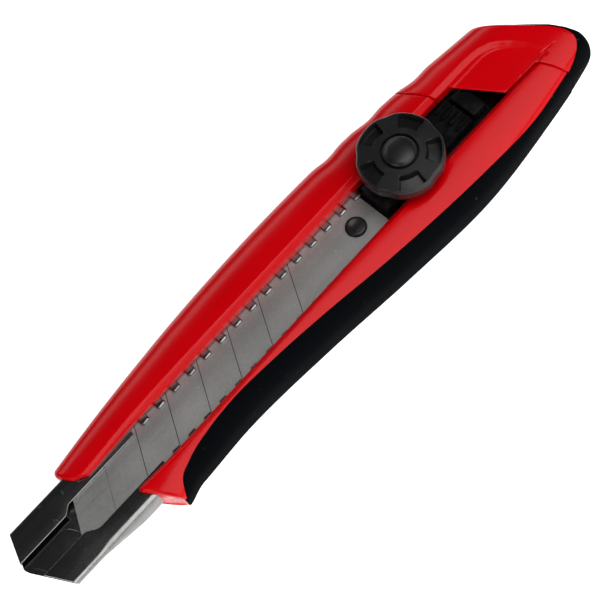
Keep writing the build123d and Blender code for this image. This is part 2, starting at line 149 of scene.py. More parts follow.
# The stage, in metres: each soft box's place, its size and the setting that holds its power.
SOFT_BOXES = {
    "top_box": ((0.15, -0.42, 0.74), (0.95, 1.05), "top_power"),
    "spine_box": ((0.05, 0.85, 0.46), (1.20, 0.22), "spine_power"),
    "belly_box": ((0.05, -0.95, 0.24), (1.60, 0.22), "belly_power"),
    "nose_box": ((-0.80, -0.25, 0.35), (0.40, 0.40), "nose_power"),
}
FLOOR_REACH = 4.0
LENS_LENGTH = 98.23
CAMERA_PLACE = (-0.06587, -0.13494, 0.34582)
CAMERA_TURN = (21.763068, 9.223905, -46.873694)


# Shader maths -------------------------------------------------------------------------------------

class Sock:
    """A socket that takes part in Python expressions by adding Math nodes."""

    def __init__(self, material, socket):
        self.material = material
        self.socket = socket

    def _math(self, operation, *values):
        return self.material.node("ShaderNodeMath", {"operation": operation}, list(values))

    def __add__(self, other):
        return self._math("ADD", self, other)

    def __sub__(self, other):
        return self._math("SUBTRACT", self, other)

    def __mul__(self, other):
        return self._math("MULTIPLY", self, other)

    def __rsub__(self, other):
        return self._math("SUBTRACT", other, self)

    __radd__ = __add__
    __rmul__ = __mul__


class Finish:
    """A node material on the Principled shader, with Object coordinates ready to use."""

    def __init__(self, name, colour, roughness, metallic=0.0, **fixed):
        self.material = bpy.data.materials.new(name)
        self.material.use_nodes = True
        self.tree = self.material.node_tree
        self.shader = self.tree.nodes["Principled BSDF"]
        self.place = self.node("ShaderNodeTexCoord", {}, [], out="Object")
        self.feed("Base Color", (*colour, 1.0))
        self.feed("Roughness", roughness)
        self.feed("Metallic", metallic)
        for socket, value in fixed.items():
            self.shader.inputs[socket.replace("_", " ")].default_value = value

    def node(self, kind, settings, values, out=0):
        """Adds one node: its settings first, then values or links for its sockets."""
        made = self.tree.nodes.new(kind)
        for key, value in settings.items():
            setattr(made, key, value)
        pairs = values.items() if isinstance(values, dict) else enumerate(values)
        for key, value in pairs:
            if isinstance(value, Sock):
                self.tree.links.new(value.socket, made.inputs[key])
            else:
                made.inputs[key].default_value = value
        return Sock(self, made.outputs[out])

    def feed(self, name, value):
        """Sets or links a socket of the shader."""
        if isinstance(value, Sock):
            self.tree.links.new(value.socket, self.shader.inputs[name])
        else:
            self.shader.inputs[name].default_value = value

    def noise(self, scale, detail=3.0, stretch=(1, 1, 1), rough=0.5):
        """Noise from 0 to 1, finer along the axes with a larger stretch."""
        spread = self.node("ShaderNodeMapping", {}, {"Vector": self.place, "Scale": stretch})
        settings = {"Vector": spread, "Scale": scale, "Detail": detail, "Roughness": rough}
        return self.node("ShaderNodeTexNoise", {}, settings)

    def ramp(self, value, low, high):
        """Straight ramp of a value between two limits, held at 0 and 1 outside them."""
        inputs = {"Value": value, "From Min": low, "From Max": high}
        return self.node("ShaderNodeMapRange", {"clamp": True}, inputs)

    def blend(self, mask, first, second, how="MIX"):
        """Colour between two colours, each given as three numbers or a socket."""
        first, second = (end if isinstance(end, Sock) else (*end, 1.0) for end in (first, second))
        settings = {"data_type": "RGBA", "blend_type": how}
        return self.node("ShaderNodeMix", settings, {0: mask, 6: first, 7: second}, out=2)

    def axis(self, name):
        """Place along one axis of the Object coordinates."""
        return self.node("ShaderNodeSeparateXYZ", {}, [self.place], out=name)

    def bump(self, height, strength, distance):
        """Feeds the shader's Normal from a height."""
        values = {"Height": height, "Strength": strength, "Distance": distance * MM}
        self.feed("Normal", self.node("ShaderNodeBump", {}, values))


def shade(colour, amount):
    """A colour made lighter or darker."""
    return tuple(value * amount for value in colour)


def red_plastic(colours):
    """Glossy moulded red with faint flow marks, fine scuffs and dust."""
    finish = Finish("red_plastic", colours.casing, 0.24, Specular_IOR_Level=0.17)
    scuffs = finish.ramp(finish.noise(900, 2, (1, 6, 1)), 0.62, 0.74)
    cloud = finish.noise(60, 3)
    finish.feed("Roughness", cloud * 0.10 + scuffs * 0.06 + 0.16)
    finish.feed("Base Color", finish.blend(cloud, shade(colours.casing, 0.93), shade(colours.casing, 1.10)))
    finish.bump(finish.noise(240, 2) + scuffs * 0.15, 0.05, 0.05)
    return finish.material


def black_rubber(colours):
    """Matt black rubber with a fine moulded grain and pale dust specks."""
    finish = Finish("black_rubber", colours.rubber, 0.72, Specular_IOR_Level=0.01)
    grain = finish.noise(2600, 2)
    patches = finish.noise(120, 4)
    specks = finish.ramp(finish.noise(700, 2), 0.73, 0.80)
    finish.feed("Base Color", finish.blend(specks, colours.rubber, (0.03, 0.03, 0.03)))
    finish.feed("Roughness", patches * 0.16 + 0.62)
    finish.bump(grain + patches * 0.3, 0.25, 0.06)
    return finish.material


def black_plastic(colours):
    """Satin black moulded plastic with a fine spark texture."""
    finish = Finish("black_plastic", colours.plastic, 0.40, Specular_IOR_Level=0.40)
    grain = finish.noise(3200, 2)
    wear = finish.ramp(finish.noise(260, 4), 0.55, 0.75)
    finish.feed("Base Color", finish.blend(wear, shade(colours.plastic, 0.6), shade(colours.plastic, 1.35)))
    finish.feed("Roughness", finish.noise(90, 3) * 0.14 + 0.30)
    finish.bump(grain, 0.22, 0.05)
    return finish.material


def channel_steel(colours):
    """Rolled stainless sheet: dark mirror-like face with faint lengthwise grain and stains, and painted shade
    on the floor strip beside the nose pad.
    """
    finish = Finish("channel_steel", colours.sheet, 0.20, metallic=1.0)
    grain = finish.noise(1400, 2, (0.03, 1, 1))
    stains = finish.ramp(finish.noise(75, 5, rough=0.62), 0.45, 0.72)
    marks = finish.ramp(finish.noise(420, 3), 0.66, 0.74)
    x, y, z = (finish.axis(name) for name in "XYZ")
    # Painted shade: the floor strip beside the nose pad, deep under the spine-side lip, is made near black
    # and rougher where shade falls.
    ground = (floor_z(CHANNEL_LOW.x) + SHEET) * MM
    deep = finish.ramp(z, ground + 0.14 * MM, ground + 0.08 * MM)
    deep = deep * finish.ramp(z, ground - 0.3 * MM, ground - 0.2 * MM)
    painted_shade = deep * finish.ramp(y, 1.9 * MM, 2.2 * MM) * finish.ramp(x, -72.0 * MM, -73.4 * MM)
    tone = finish.blend(stains, colours.sheet, shade(colours.sheet, 0.6))
    finish.feed("Base Color", finish.blend(painted_shade, tone, (0.004, 0.004, 0.004)))
    finish.feed("Roughness", grain * 0.08 + stains * 0.12 + marks * 0.10 + painted_shade * 0.4 + 0.17)
    finish.bump(grain + marks * 0.3, 0.05, 0.03)
    return finish.material


def blade_steel(colours):
    """Ground carbon steel: satin grey with fine speckle, faint stains and dark score lines."""
    finish = Finish("blade_steel", colours.blade, 0.38, metallic=1.0)
    lines = finish.noise(2400, 2, (0.02, 1, 1))
    speckle = finish.noise(2100, 2)
    cloud = finish.noise(70, 5, rough=0.6)
    pits = finish.ramp(finish.noise(560, 2), 0.72, 0.78)
    along, across = finish.axis("X"), finish.axis("Y")
    score = (along - SCORE_START_X * MM) * sin(BLADE_LEAN) - across * cos(BLADE_LEAN)
    pitch = SCORE_PITCH * sin(BLADE_LEAN) * MM
    off_line = finish.node("ShaderNodeMath", {"operation": "PINGPONG"}, [score + pitch / 2, pitch / 2])
    groove = finish.ramp(off_line, 0.13 * MM, 0.05 * MM)
    scored = finish.ramp(along, (SCORE_END_X + 0.1) * MM, SCORE_END_X * MM)
    dark = groove * scored * (finish.ramp(along, SCORE_FADE_X[0] * MM, SCORE_FADE_X[1] * MM) * 0.6 + 0.25)
    dull, bright = shade(colours.blade, 0.73), shade(colours.blade, 1.24)
    tone = finish.blend(speckle * 0.7 + cloud * 0.5 - 0.1, dull, bright)
    marked = finish.blend(pits * 0.35, (0.0, 0.0, 0.0), (0.45, 0.45, 0.44))
    tone = finish.blend(1.0, tone, marked, "ADD")
    finish.feed("Base Color", finish.blend(dark, tone, (0.02, 0.02, 0.02)))
    finish.feed("Roughness", lines * 0.12 + cloud * 0.12 + 0.36)
    finish.bump(lines + speckle * 0.5 + cloud * 0.2, 0.14, 0.02)
    return finish.material


def track_plastic(colours):
    """Dull black plastic of the slider, with painted shade: its colour is a darker copy of the knob's plastic
    for the shade down in the track.
    """
    finish = Finish("track_plastic", shade(colours.plastic, 0.5), 0.45, Specular_IOR_Level=0.07)
    wear = finish.ramp(finish.noise(420, 4), 0.50, 0.72)
    # Painted shade: both ends of this blend are darker than the knob's plastic (0.25 and 0.8 of it, against
    # 0.6 and 1.35), with the wear noise between them.
    finish.feed("Base Color", finish.blend(wear, shade(colours.plastic, 0.25), shade(colours.plastic, 0.8)))
    finish.feed("Roughness", finish.noise(150, 3) * 0.16 + 0.30)
    finish.bump(finish.noise(2600, 2) + wear * 0.5, 0.25, 0.05)
    return finish.material


def zinc_steel(colours):
    """Bright zinc plate on small turned and pressed steel parts."""
    finish = Finish("zinc_steel", colours.zinc, 0.30, metallic=1.0)
    cloud = finish.noise(500, 4)
    finish.feed("Roughness", cloud * 0.2 + 0.2)
    finish.bump(finish.noise(3000, 2), 0.1, 0.02)
    return finish.material


def turned_brass(colours):
    """Turned brass of the knob's nut."""
    finish = Finish("brass", colours.brass, 0.28, metallic=1.0)
    finish.feed("Roughness", finish.noise(900, 3) * 0.2 + 0.18)
    return finish.material


MAKERS = {"red_plastic": red_plastic, "black_rubber": black_rubber, "black_plastic": black_plastic,
          "track_plastic": track_plastic, "channel_steel": channel_steel, "blade_steel": blade_steel,
          "zinc_steel": zinc_steel, "brass": turned_brass}
FINISHES = {}


def finish_named(name):
    """The material of a finish, made once. All but track_plastic are named after their record slot."""
    if name not in FINISHES:
        FINISHES[name] = MAKERS[name](bpy.context.scene.knife_colours)
    return FINISHES[name]


# Mesh helpers -------------------------------------------------------------------------------------

def mesh_of(name, points, faces):
    """A mesh from millimetre points."""
    mesh = bpy.data.meshes.new(name)
    mesh.from_pydata([tuple(float(value) * MM for value in point) for point in points], [], faces)
    return mesh


def piece(name, points, faces, finish, body, nodes=(), sharp_degrees=35.0):
    """A named mesh from millimetre points, riding on a body and standing for CAD nodes."""
    mesh = mesh_of(name, points, faces)
    mesh.validate()
    return dressed(name, mesh, finish, body, nodes, sharp_degrees)


def dressed(name, mesh, finish, body, nodes=(), sharp_degrees=35.0):
    """Cleans a mesh, points its faces outwards, shades it smooth up to an angle and joins it to the frame."""
    work = bmesh.new()
    work.from_mesh(mesh)
    bmesh.ops.remove_doubles(work, verts=work.verts, dist=WELD)
    bmesh.ops.dissolve_degenerate(work, dist=WELD, edges=work.edges)
    bmesh.ops.recalc_face_normals(work, faces=work.faces)
    limit = radians(sharp_degrees)
    for edge in work.edges:
        edge.smooth = len(edge.link_faces) == 2 and edge.calc_face_angle(0.0) < limit
    for face in work.faces:
        face.smooth = True
    work.to_mesh(mesh)
    work.free()
    made = bpy.data.objects.get(name) or bpy.data.objects.new(name, mesh)
    if made.name not in bpy.context.scene.collection.all_objects:
        bpy.context.scene.collection.objects.link(made)
    mesh.materials.clear()
    mesh.materials.append(finish_named(finish))
    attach(made, body)
    "black_plastic" if finish == "track_plastic" else finish
    if nodes:
        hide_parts(*nodes)
    return made


def rings(grid, closed=True):
    """Quads between neighbouring rows of a grid of points, numbered row by row."""
    rows, columns = grid.shape[:2]
    faces = []
    for row in range(rows - 1):
        here, above = row * columns, (row + 1) * columns
        for column in range(columns if closed else columns - 1):
            after = (column + 1) % columns
            faces.append((here + column, here + after, above + after, above + column))
    return faces


def turned(steps, count, closed=True):
    """Quads between neighbouring profiles of a turned grid, all the way round."""
    faces = []
    for step in range(steps):
        here, above = step * count, (step + 1) % steps * count
        for spot in range(count if closed else count - 1):
            after = (spot + 1) % count
            faces.append((here + spot, above + spot, above + after, here + after))
    return faces


def flat_fill(ring, across=(1, 2)):
    """Triangles that fill a ring of points, worked out on two of its axes."""
    flat = [Vector((point[across[0]], point[across[1]], 0)) for point in ring]
    return tessellate_polygon([flat])


def filled(grid, across=(1, 2)):
    """Faces of a swept grid of closed rings, with both ends filled."""
    last = (len(grid) - 1) * grid.shape[1]
    ends = (0, grid[0]), (last, grid[-1])
    return rings(grid) + [tuple(first + index for index in face)
                          for first, ring in ends for face in flat_fill(ring, across)]


def soft_chain(corners, radii, steps=5):
    """Open line through corners, each inner corner rounded by an arc of its radius."""
    points = [np.array(corners[0], dtype=float)]
    for index, radius in enumerate(radii, start=1):
        here = np.array(corners[index], dtype=float)
        before = np.array(corners[index - 1]) - here
        after = np.array(corners[index + 1]) - here
        reach_in, reach_out = np.hypot(*before), np.hypot(*after)
        before, after = before / reach_in, after / reach_out
        turn = np.arccos(np.clip(before @ after, -1, 1))
        cut = min(radius / tan(turn / 2), reach_in * 0.48, reach_out * 0.48)
        true_radius = cut * tan(turn / 2)
        middle = here + (before + after) / np.hypot(*(before + after)) * true_radius / sin(turn / 2)
        start, end = here + before * cut - middle, here + after * cut - middle
        sweep = atan2(start[0] * end[1] - start[1] * end[0], start @ end)
        for step in range(steps + 1):
            angle = sweep * step / steps
            points.append(middle + (start[0] * cos(angle) - start[1] * sin(angle),
                                    start[0] * sin(angle) + start[1] * cos(angle)))
    points.append(np.array(corners[-1], dtype=float))
    return np.array(points)


def smooth_between(table, x):
    """Smooth curve through the rows of a table, whose first column is the place along X."""
    places = table[:, 0]
    slopes = np.gradient(table[:, 1:], places, axis=0)
    spot = int(np.clip(np.searchsorted(places, x) - 1, 0, len(places) - 2))
    gap = places[spot + 1] - places[spot]
    t = (x - places[spot]) / gap
    start, end = table[spot, 1:], table[spot + 1, 1:]
    lead, tail = slopes[spot] * gap, slopes[spot + 1] * gap
    return ((2 * t**3 - 3 * t**2 + 1) * start + (t**3 - 2 * t**2 + t) * lead
            + (3 * t**2 - 2 * t**3) * end + (t**3 - t**2) * tail)


def handle_row(x):
    """Spine, belly, top and back of the handle at one place along X, with its thumb and finger dips."""
    spine, belly, top, back = smooth_between(STATIONS, x)
    for dip in THUMB_DIPS:
        away = abs(x - dip) / 5.2
        if away < 1:
            spine -= 0.5 * (1 + cos(pi * away)) / 2
    away = abs(x - FINGER_DIP_X) / FINGER_DIP_REACH
    if away < 1:
        belly -= FINGER_DIP_DEPTH * (1 + cos(pi * away)) / 2
    return spine, belly, top, back


FORM_X = np.arange(-92.0, 96.0, 0.25)
FORM = np.array([handle_row(x) for x in FORM_X])


def handle_at(x):
    """Spine, belly, top and back at places along X."""
    return [np.interp(x, FORM_X, FORM[:, column]) for column in range(4)]


def crown(y, spine, belly, power):
    """Share of the full height that a rounded section keeps at y, 1 in the middle and 0 at its sides."""
    share = np.clip(np.abs(y) / np.where(y > 0, spine, -belly), 0, 1)
    return (1 - share**power) ** (1 / power)


def top_z(x, y):
    """Height of the handle's upper surface."""
    spine, belly, top, back = handle_at(x)
    middle = (top + np.maximum(back, 0)) / 2
    return middle + (top - middle) * crown(y, spine, belly, TOP_POWER)


def under_z(x, y):
    """Height of the handle's lower surface, flat where it rests."""
    spine, belly, top, back = handle_at(x)
    middle = (top + np.maximum(back, 0)) / 2
    return np.maximum(middle - (middle - back) * crown(y, spine, belly, BACK_POWER), 0.03)


def plan_x(line, y):
    """Where a plan line of (x, y) points crosses given values of y."""
    ordered = sorted(line, key=lambda point: point[1])
    return np.interp(y, [point[1] for point in ordered], [point[0] for point in ordered])


def round_off(distance, radius):
    """How far a rounded edge has fallen at a distance from the edge."""
    short = np.clip(radius - distance, 0, radius)
    return radius - np.sqrt(radius**2 - short**2)


def far_from(x, y, line):
    """Shortest plan distance from points to an open line."""
    nearest = np.full(np.shape(x), 1e9)
    for (x0, y0), (x1, y1) in zip(line[:-1], line[1:]):
        share = ((x - x0) * (x1 - x0) + (y - y0) * (y1 - y0)) / ((x1 - x0) ** 2 + (y1 - y0) ** 2)
        share = np.clip(share, 0, 1)
        nearest = np.minimum(nearest, np.hypot(x - x0 - share * (x1 - x0), y - y0 - share * (y1 - y0)))
    return nearest


def inside(x, y, outline):
    """Whether points lie within a closed plan outline."""
    within = np.zeros(np.shape(x), dtype=bool)
    for (x0, y0), (x1, y1) in zip(outline, outline[1:] + outline[:1]):
        if y0 != y1:
            within ^= ((y0 > y) != (y1 > y)) & (x < (x1 - x0) * (y - y0) / (y1 - y0) + x0)
    return within


# Casing -------------------------------------------------------------------------------------------

def casing_section(x):
    """One closed section of the casing: window wall, bevel, rail, side, back and the channel's room."""
    spine, belly = handle_at(x)[:2]
    half = {}
    for side, reach in ((1, float(spine)), (-1, float(belly))):
        bevel = float(np.interp(x, [-62, -42], [0.55, BEVEL]))
        edge = side * (WINDOW_HALF + bevel)
        shoulder = edge + side * float(np.interp(x, [-60, -46], [3.2, 1.2]))
        high = float(top_z(x, edge))
        softness = float(np.interp(x, [-58, -44, 0], [4.0, 0.8, 0.4]))
        sill = side * float(np.interp(x, [-64, -50], [5.3, WINDOW_HALF]))
        wall = soft_chain([(sill, ROOM_TOP), (sill, high - bevel),
                           (edge, high), (shoulder, float(top_z(x, shoulder)))], (softness * 0.6, softness))
        turn = np.sin(np.linspace(0, pi / 2, 21)[1:])
        over = shoulder + (reach - shoulder) * turn
        over = np.column_stack((over, top_z(x, over)))
        below = reach * np.cos(np.linspace(0, pi / 2, 17)[1:-1])
        below = np.column_stack((below, np.maximum(under_z(x, below), BACK_FLOOR)))
        half[side] = np.vstack((wall, over, below))
    room = [(-ROOM_HALF, ROOM_TOP), (-ROOM_HALF, 7.7), (-ROOM_HALF, CHANNEL_LOW.z)]
    room += [(y, CHANNEL_LOW.z) for y in np.linspace(-7.5, 7.5, 7)]
    room += [(ROOM_HALF, CHANNEL_LOW.z), (ROOM_HALF, 7.7), (ROOM_HALF, ROOM_TOP)]
    middle = [(0.0, max(float(under_z(x, 0.0)), BACK_FLOOR))]
    return np.vstack((half[1], middle, half[-1][::-1], room))


def build_casing(sizes):
    """The red casing, swept from the nose to the cap and hollowed for the channel and the cover."""
    grid_x = np.arange(-76.0, 82.0, 0.5)
    sections = np.array([casing_section(x) for x in grid_x])
    count = sections.shape[1]
    solid = count - ROOM_POINTS
    near = np.array([0, 0.06, 0.16, 0.3, 0.5, 0.75, 1.05, 1.4, 1.9])
    end = np.array([1.0, 0.5, 0.25, 0.12, 0.04, 0])
    steps = np.linspace(0, 1, 230)[1:-1]
    x = np.full((len(near) + len(steps) + len(end), count), 0.0)
    y = np.tile(sections[len(grid_x) // 2, :, 0], (len(x), 1))
    for _ in range(5):
        start, stop = plan_x(NOSE_CUT, y), plan_x(SEAM, y)
        front, back = len(near), len(near) + len(steps)
        x[:front] = start[:front] + near[:, None]
        x[back:] = stop[back:] - end[:, None]
        span = (stop - start)[front:back] - near[-1] - end[0]
        x[front:back] = start[front:back] + near[-1] + span * steps[:, None]
        spot = np.clip((x - grid_x[0]) / 0.5, 0, len(grid_x) - 1.001)
        low = spot.astype(int)
        share = spot - low
        column = np.arange(count)[None, :]
        y = sections[low, column, 0] * (1 - share) + sections[low + 1, column, 0] * share
        z = sections[low, column, 1] * (1 - share) + sections[low + 1, column, 1] * share
    along_y = np.roll(y, -1, axis=1) - np.roll(y, 1, axis=1)
    along_z = np.roll(z, -1, axis=1) - np.roll(z, 1, axis=1)
    length = np.maximum(np.hypot(along_y, along_z), 1e-6)
    inset = np.zeros_like(x)
    inset[:len(near)] = round_off(near, sizes.nose_round / MM)[:, None]
    inset[-len(end):] = round_off(end, 0.3)[:, None]
    inset[:, solid:] = 0
    inset[:, :4] *= 0.3
    inset[:, solid - 4:solid] *= 0.3
    y = y + along_z / length * inset
    z = z - along_y / length * inset
    away = np.hypot(x - KNOB_X, y)
    dish = DISH_FLOOR + np.clip(away - DISH_FLAT, 0, 6) * DISH_SLOPE
    z = np.where(away < DISH_REACH, np.minimum(z, dish), z)
    grid = np.stack((x, y, z), axis=2)
    made = piece("casing", grid.reshape(-1, 3), filled(grid), "red_plastic", "handle")
    carve(made, COVER_PLAN, *COVER_LEVELS)
    dressed("casing", made.data, "red_plastic", "handle", ("handle_casing",))


def carve(made, outline, low, high):
    """Cuts an upright prism out of a piece."""
    count = len(outline)
    points = [(x, y, low) for x, y in outline] + [(x, y, high) for x, y in outline]
    faces = [tuple(reversed(range(count))), tuple(range(count, 2 * count))]
    faces += [(i, (i + 1) % count, count + (i + 1) % count, count + i) for i in range(count)]
    mesh = mesh_of("cutter", points, faces)
    work = bmesh.new()
    work.from_mesh(mesh)
    bmesh.ops.recalc_face_normals(work, faces=work.faces)
    work.to_mesh(mesh)
    work.free()
    cutter = bpy.data.objects.new("cutter", mesh)
    bpy.context.scene.collection.objects.link(cutter)
    cut = made.modifiers.new("cut", "BOOLEAN")
    cut.operation = "DIFFERENCE"
    cut.solver = "EXACT"
    cut.object = cutter
    made.data = applied(made)
    made.modifiers.clear()
    bpy.data.objects.remove(cutter)


def applied(made):
    """The mesh of an object with its modifiers in it."""
    graph = bpy.context.evaluated_depsgraph_get()
    return bpy.data.meshes.new_from_object(made.evaluated_get(graph))


def build_grip(sizes):
    """The rubber on the belly: a skin that stands a little proud, with rounded edges that dive in."""
    edge_line = np.array(GRIP_EDGE)
    stations = np.concatenate(([-53.9, -53.7, -53.4, -53.0], np.arange(-52.5, 75.6, 0.7),
                               [75.9, 76.2, 76.32, 76.4]))
    grid = []
    for x in stations:
        belly = float(handle_at(x)[1])
        edge = float(smooth_between(edge_line, x)[0])
        edge = max(edge, belly + 0.12)
        turn = np.sin(np.linspace(0, pi / 2, 26))
        out = edge + (belly - edge) * turn
        upper = np.column_stack((out, top_z(x, out)))
        below = max(edge, 0.78 * belly)
        out = below + (belly - below) * turn
        lower = np.column_stack((out, under_z(x, out)))[::-1][1:]
        path = np.vstack((upper, lower))
        run = np.gradient(path, axis=0)
        normal = np.column_stack((run[:, 1], -run[:, 0]))
        normal /= np.maximum(np.hypot(normal[:, 0], normal[:, 1]), 1e-6)[:, None]
        reach = np.concatenate(([0], np.cumsum(np.hypot(*np.diff(path, axis=0).T))))
        near_edge = np.minimum(reach, reach[-1] - reach)
        near_end = min((x - stations[0]) * 0.5, (stations[-1] - x) * 3.0)
        rise = sizes.grip_proud / MM
        proud = rise - round_off(near_edge, 0.75) * 0.9 - float(round_off(near_end, 0.4)) * 0.6
        flat = path[:, 1] < 0.2
        proud = np.where(flat, np.minimum(proud, 0.02), proud)
        outer = path + normal * proud[:, None]
        inner = path - normal * np.minimum(1.2, 0.2 + reach[-1] * 0.1)
        ring = np.vstack((outer, inner[::-1]))
        grid.append(np.column_stack((np.full(len(ring), x), ring)))
    grid = np.array(grid)
    piece("grip_rubber", grid.reshape(-1, 3), filled(grid), "black_rubber", "handle", ("belly_grip",), 50)


# End cap ------------------------------------------------------------------------------------------

def tail_line():
    """The plan line round the tail, from the spine to the belly."""
    corners = [(62.0, 25.0), (72.5, 12.9), (78.0, 4.9), (82.9, -1.5), (84.7, -4.8), (86.1, -8.4),
               (85.7, -11.7), (70.0, -16.0), (60.0, -19.2)]
    return [tuple(point) for point in soft_chain(corners, (0.3, 20.0, 8.0, 8.0, 5.0, 4.0, 0.5), 6)]


def cap_height(x, y, tail, upper):
    """Upper or lower surface of the cap, rounded towards its tail, with the panel sunk in the top."""
    spine, belly, top, back = handle_at(x)
    middle = (top + np.maximum(back, 0)) / 2
    gone = np.clip(1 - far_from(x, y, tail) / 1.8, 0, 1)
    share = (1 - gone**2.3) ** (1 / 2.3)
    if not upper:
        low = middle - (middle - back) * crown(y, spine, belly, BACK_POWER) * share
        return np.maximum(low, BACK_FLOOR)
    high = middle + (top - middle) * crown(y, spine, belly, TOP_POWER) * share
    ridge = inside(x, y, RIDGE) * far_from(x, y, RIDGE[:-1])
    sunk = inside(x, y, PANEL) * far_from(x, y, PANEL[:-1])
    fade = np.clip((77.6 - x) / 7.0, 0, 1) ** 0.8
    step = np.clip(ridge / 1.3, 0, 1)
    step = 0.7 * step + 0.3 * step * step * (3 - 2 * step)
    return high - (0.8 * step + 0.16 * np.clip(sunk / 0.5, 0, 1)) * fade


def build_cap():
    """The red end cap over the channel's tail, with its sunk panel and the room for the channel."""
    tail = tail_line()
    bands = [("belly", np.sin(np.linspace(pi / 2, 0, 22))), ("flat", np.linspace(-9.8, -5.9, 10)),
             ("flat", np.linspace(-5.5, 5.6, 36)), ("flat", np.linspace(5.9, 9.8, 12)),
             ("spine", np.sin(np.linspace(0, pi / 2, 24)))]

    def across(x):
        spine, belly = handle_at(x)[:2]
        places = []
        for kind, values in bands:
            if kind == "belly":
                places += [-10.0 + (belly[:, len(places) + i] + 10.0) * v for i, v in enumerate(values)]
            elif kind == "spine":
                places += [10.0 + (spine[:, len(places) + i] - 10.0) * v for i, v in enumerate(values)]
            else:
                places += [np.full(len(x), v) for v in values]
        return np.column_stack(places)

    count = sum(len(values) for _, values in bands)
    near = np.array([0, 0.05, 0.15, 0.3, 0.6])
    end = np.array([3.4, 2.6, 1.9, 1.35, 0.9, 0.6, 0.4, 0.25, 0.13, 0.05, 0])
    steps = np.linspace(0, 1, 92)[1:-1]

    def sheet(front_line, upper):
        x = np.full((len(near) + len(steps) + len(end), count), 70.0)
        for _ in range(6):
            y = across(x)
            start, stop = front_line(y), plan_x(tail, y)
            a, b = len(near), len(near) + len(steps)
            x[:a] = start[:a] + near[:, None]
            x[b:] = stop[b:] - end[:, None]
            x[a:b] = start[a:b] + near[-1] + (stop - start - near[-1] - end[0])[a:b] * steps[:, None]
        y = across(x)
        z = cap_height(x, y, tail, upper)
        drop = np.zeros_like(x)
        drop[:len(near)] = round_off(near, 0.3)[:, None]
        z = z - drop if upper else z + drop
        return np.stack((x, y, z), axis=2)

    def front_top(y):
        seam = plan_x(SEAM, y) + 0.2
        return np.where(np.abs(y) < 5.7, plan_x(PANEL_FRONT, y), seam)

    top = sheet(front_top, True)
    bottom = sheet(lambda y: plan_x(SEAM, y) + 0.2, False)
    first, base = top[0], bottom[0]
    room = np.abs(first[:, 1]) < 9.9
    walls = []
    for level, deep in ((10.65, False), (10.65, True), (4.8, True), (4.8, False)):
        x = np.where(room & deep, 67.0, first[:, 0] if level > 8 else base[:, 0])
        x = np.where((np.abs(first[:, 1]) < 5.7) & (level > 8) & (not deep), x + 2.4, x)
        straight = 9.0 if level > 8 and deep else 6.5 if deep else level
        z = np.where(room, level, straight)
        side = np.abs(first[:, 1]) > 15.2
        z = np.where(side, first[:, 2] * 0.5 + base[:, 2] * 0.5, z)
        z = np.clip(z, base[:, 2], first[:, 2])
        walls.append(np.stack((x, first[:, 1], z), axis=1))
    grid = np.array([*top[::-1], *walls, *bottom])
    faces = rings(grid, closed=False)
    piece("cap_shell", grid.reshape(-1, 3), faces, "red_plastic", "end_cap", ("end_cap",), 50)


def build_rim():
    """The black band round the tail: a proud skin over the cap between its inner line and the outline."""
    tail = np.array(tail_line())
    edge = np.column_stack((range(len(RIM_EDGE)), RIM_EDGE))
    spots = np.linspace(0, len(RIM_EDGE) - 1, RIM_SPOTS)
    inner = resampled(np.array([smooth_between(edge, spot) for spot in spots]), RIM_SPOTS)
    meet = 80.0
    while plan_x(tail, float(handle_at(meet)[1])) > meet:
        meet += 0.05
    belly_x = np.linspace(RIM_EDGE[0][0], meet, 8)
    belly_line = np.column_stack((belly_x, handle_at(belly_x)[1]))
    keep = tail[(tail[:, 1] < 12.0) & (tail[:, 0] > 70) & (tail[:, 1] > belly_line[-1, 1] + 0.05)][::-1]
    outline = resampled(np.vstack((belly_line, keep, [(73.0, 11.8)])), RIM_SPOTS)
    run = np.gradient(outline, axis=0)
    outward = np.column_stack((run[:, 1], -run[:, 0])) / np.hypot(run[:, 0], run[:, 1])[:, None]
    grid = []
    for spot in range(RIM_SPOTS):
        share = np.sin(np.linspace(0, pi / 2, 18))
        place = inner[spot] + (outline[spot] - inner[spot]) * share[:, None]
        deeper = inner[spot] + (inner[spot] - outline[spot]) * 0.6
        under = deeper + (outline[spot] - deeper) * share[:, None]
        high = cap_height(place[:, 0], place[:, 1], tail, True)
        low = cap_height(under[:, 0], under[:, 1], tail, False)
        reach = np.hypot(*(place - inner[spot]).T)
        lift = RIM_PROUD - round_off(reach, min(0.6, reach[-1] / 2)) * 0.8
        swell = outward[spot] * (RIM_SWELL * share**2)[:, None]
        lift = lift * (1 - share**6)
        upper = np.column_stack((place + swell, high + lift))
        lower = np.column_stack((under + swell, np.maximum(low - lift, 0.02)))
        start, end = (*inner[spot], high[0] - 1.0), (*deeper, low[0] + 1.0)
        grid.append(np.vstack((start, upper, lower[::-1][1:], end)))
    grid = np.array(grid)
    count = grid.shape[1]
    last = (len(grid) - 1) * count
    faces = rings(grid) + [tuple(range(count)), tuple(range(last, last + count))]
    piece("tail_rim", grid.reshape(-1, 3), faces, "black_rubber", "end_cap", ("end_cap_rim",), 50)


def resampled(line, count):
    """Evenly spaced points along an open line."""
    reach = np.concatenate(([0], np.cumsum(np.hypot(*np.diff(line, axis=0).T))))
    spots = np.linspace(0, reach[-1], count)
    return np.column_stack([np.interp(spots, reach, line[:, axis]) for axis in range(line.shape[1])])


# Channel ------------------------------------------------------------------------------------------

def floor_z(x):
    """Underside of the channel: thin at the nose, then a ramp down to the deep track."""
    return float(np.interp(x, [-75.2, -74.4, -73.6, -63.6, -63.0, -62.4],
                           [8.5, 8.43, 8.2, 5.1, 4.94, CHANNEL_LOW.z]))


def lip_edges(x):
    """Half gap between the lips, on the spine side and on the belly side."""
    if RACK_FRONT_X < x < RACK_BACK_X:
        return 7.0, 7.0
    spine = float(np.interp(x, [-74.0, -73.4, -72.0, -71.4], [2.8, 3.05, 4.1, 4.3]))
    belly = float(np.interp(x, [-73.8, -73.2, -71.2, -70.4], [2.9, 3.1, 4.5, 4.75]))
    return spine, belly


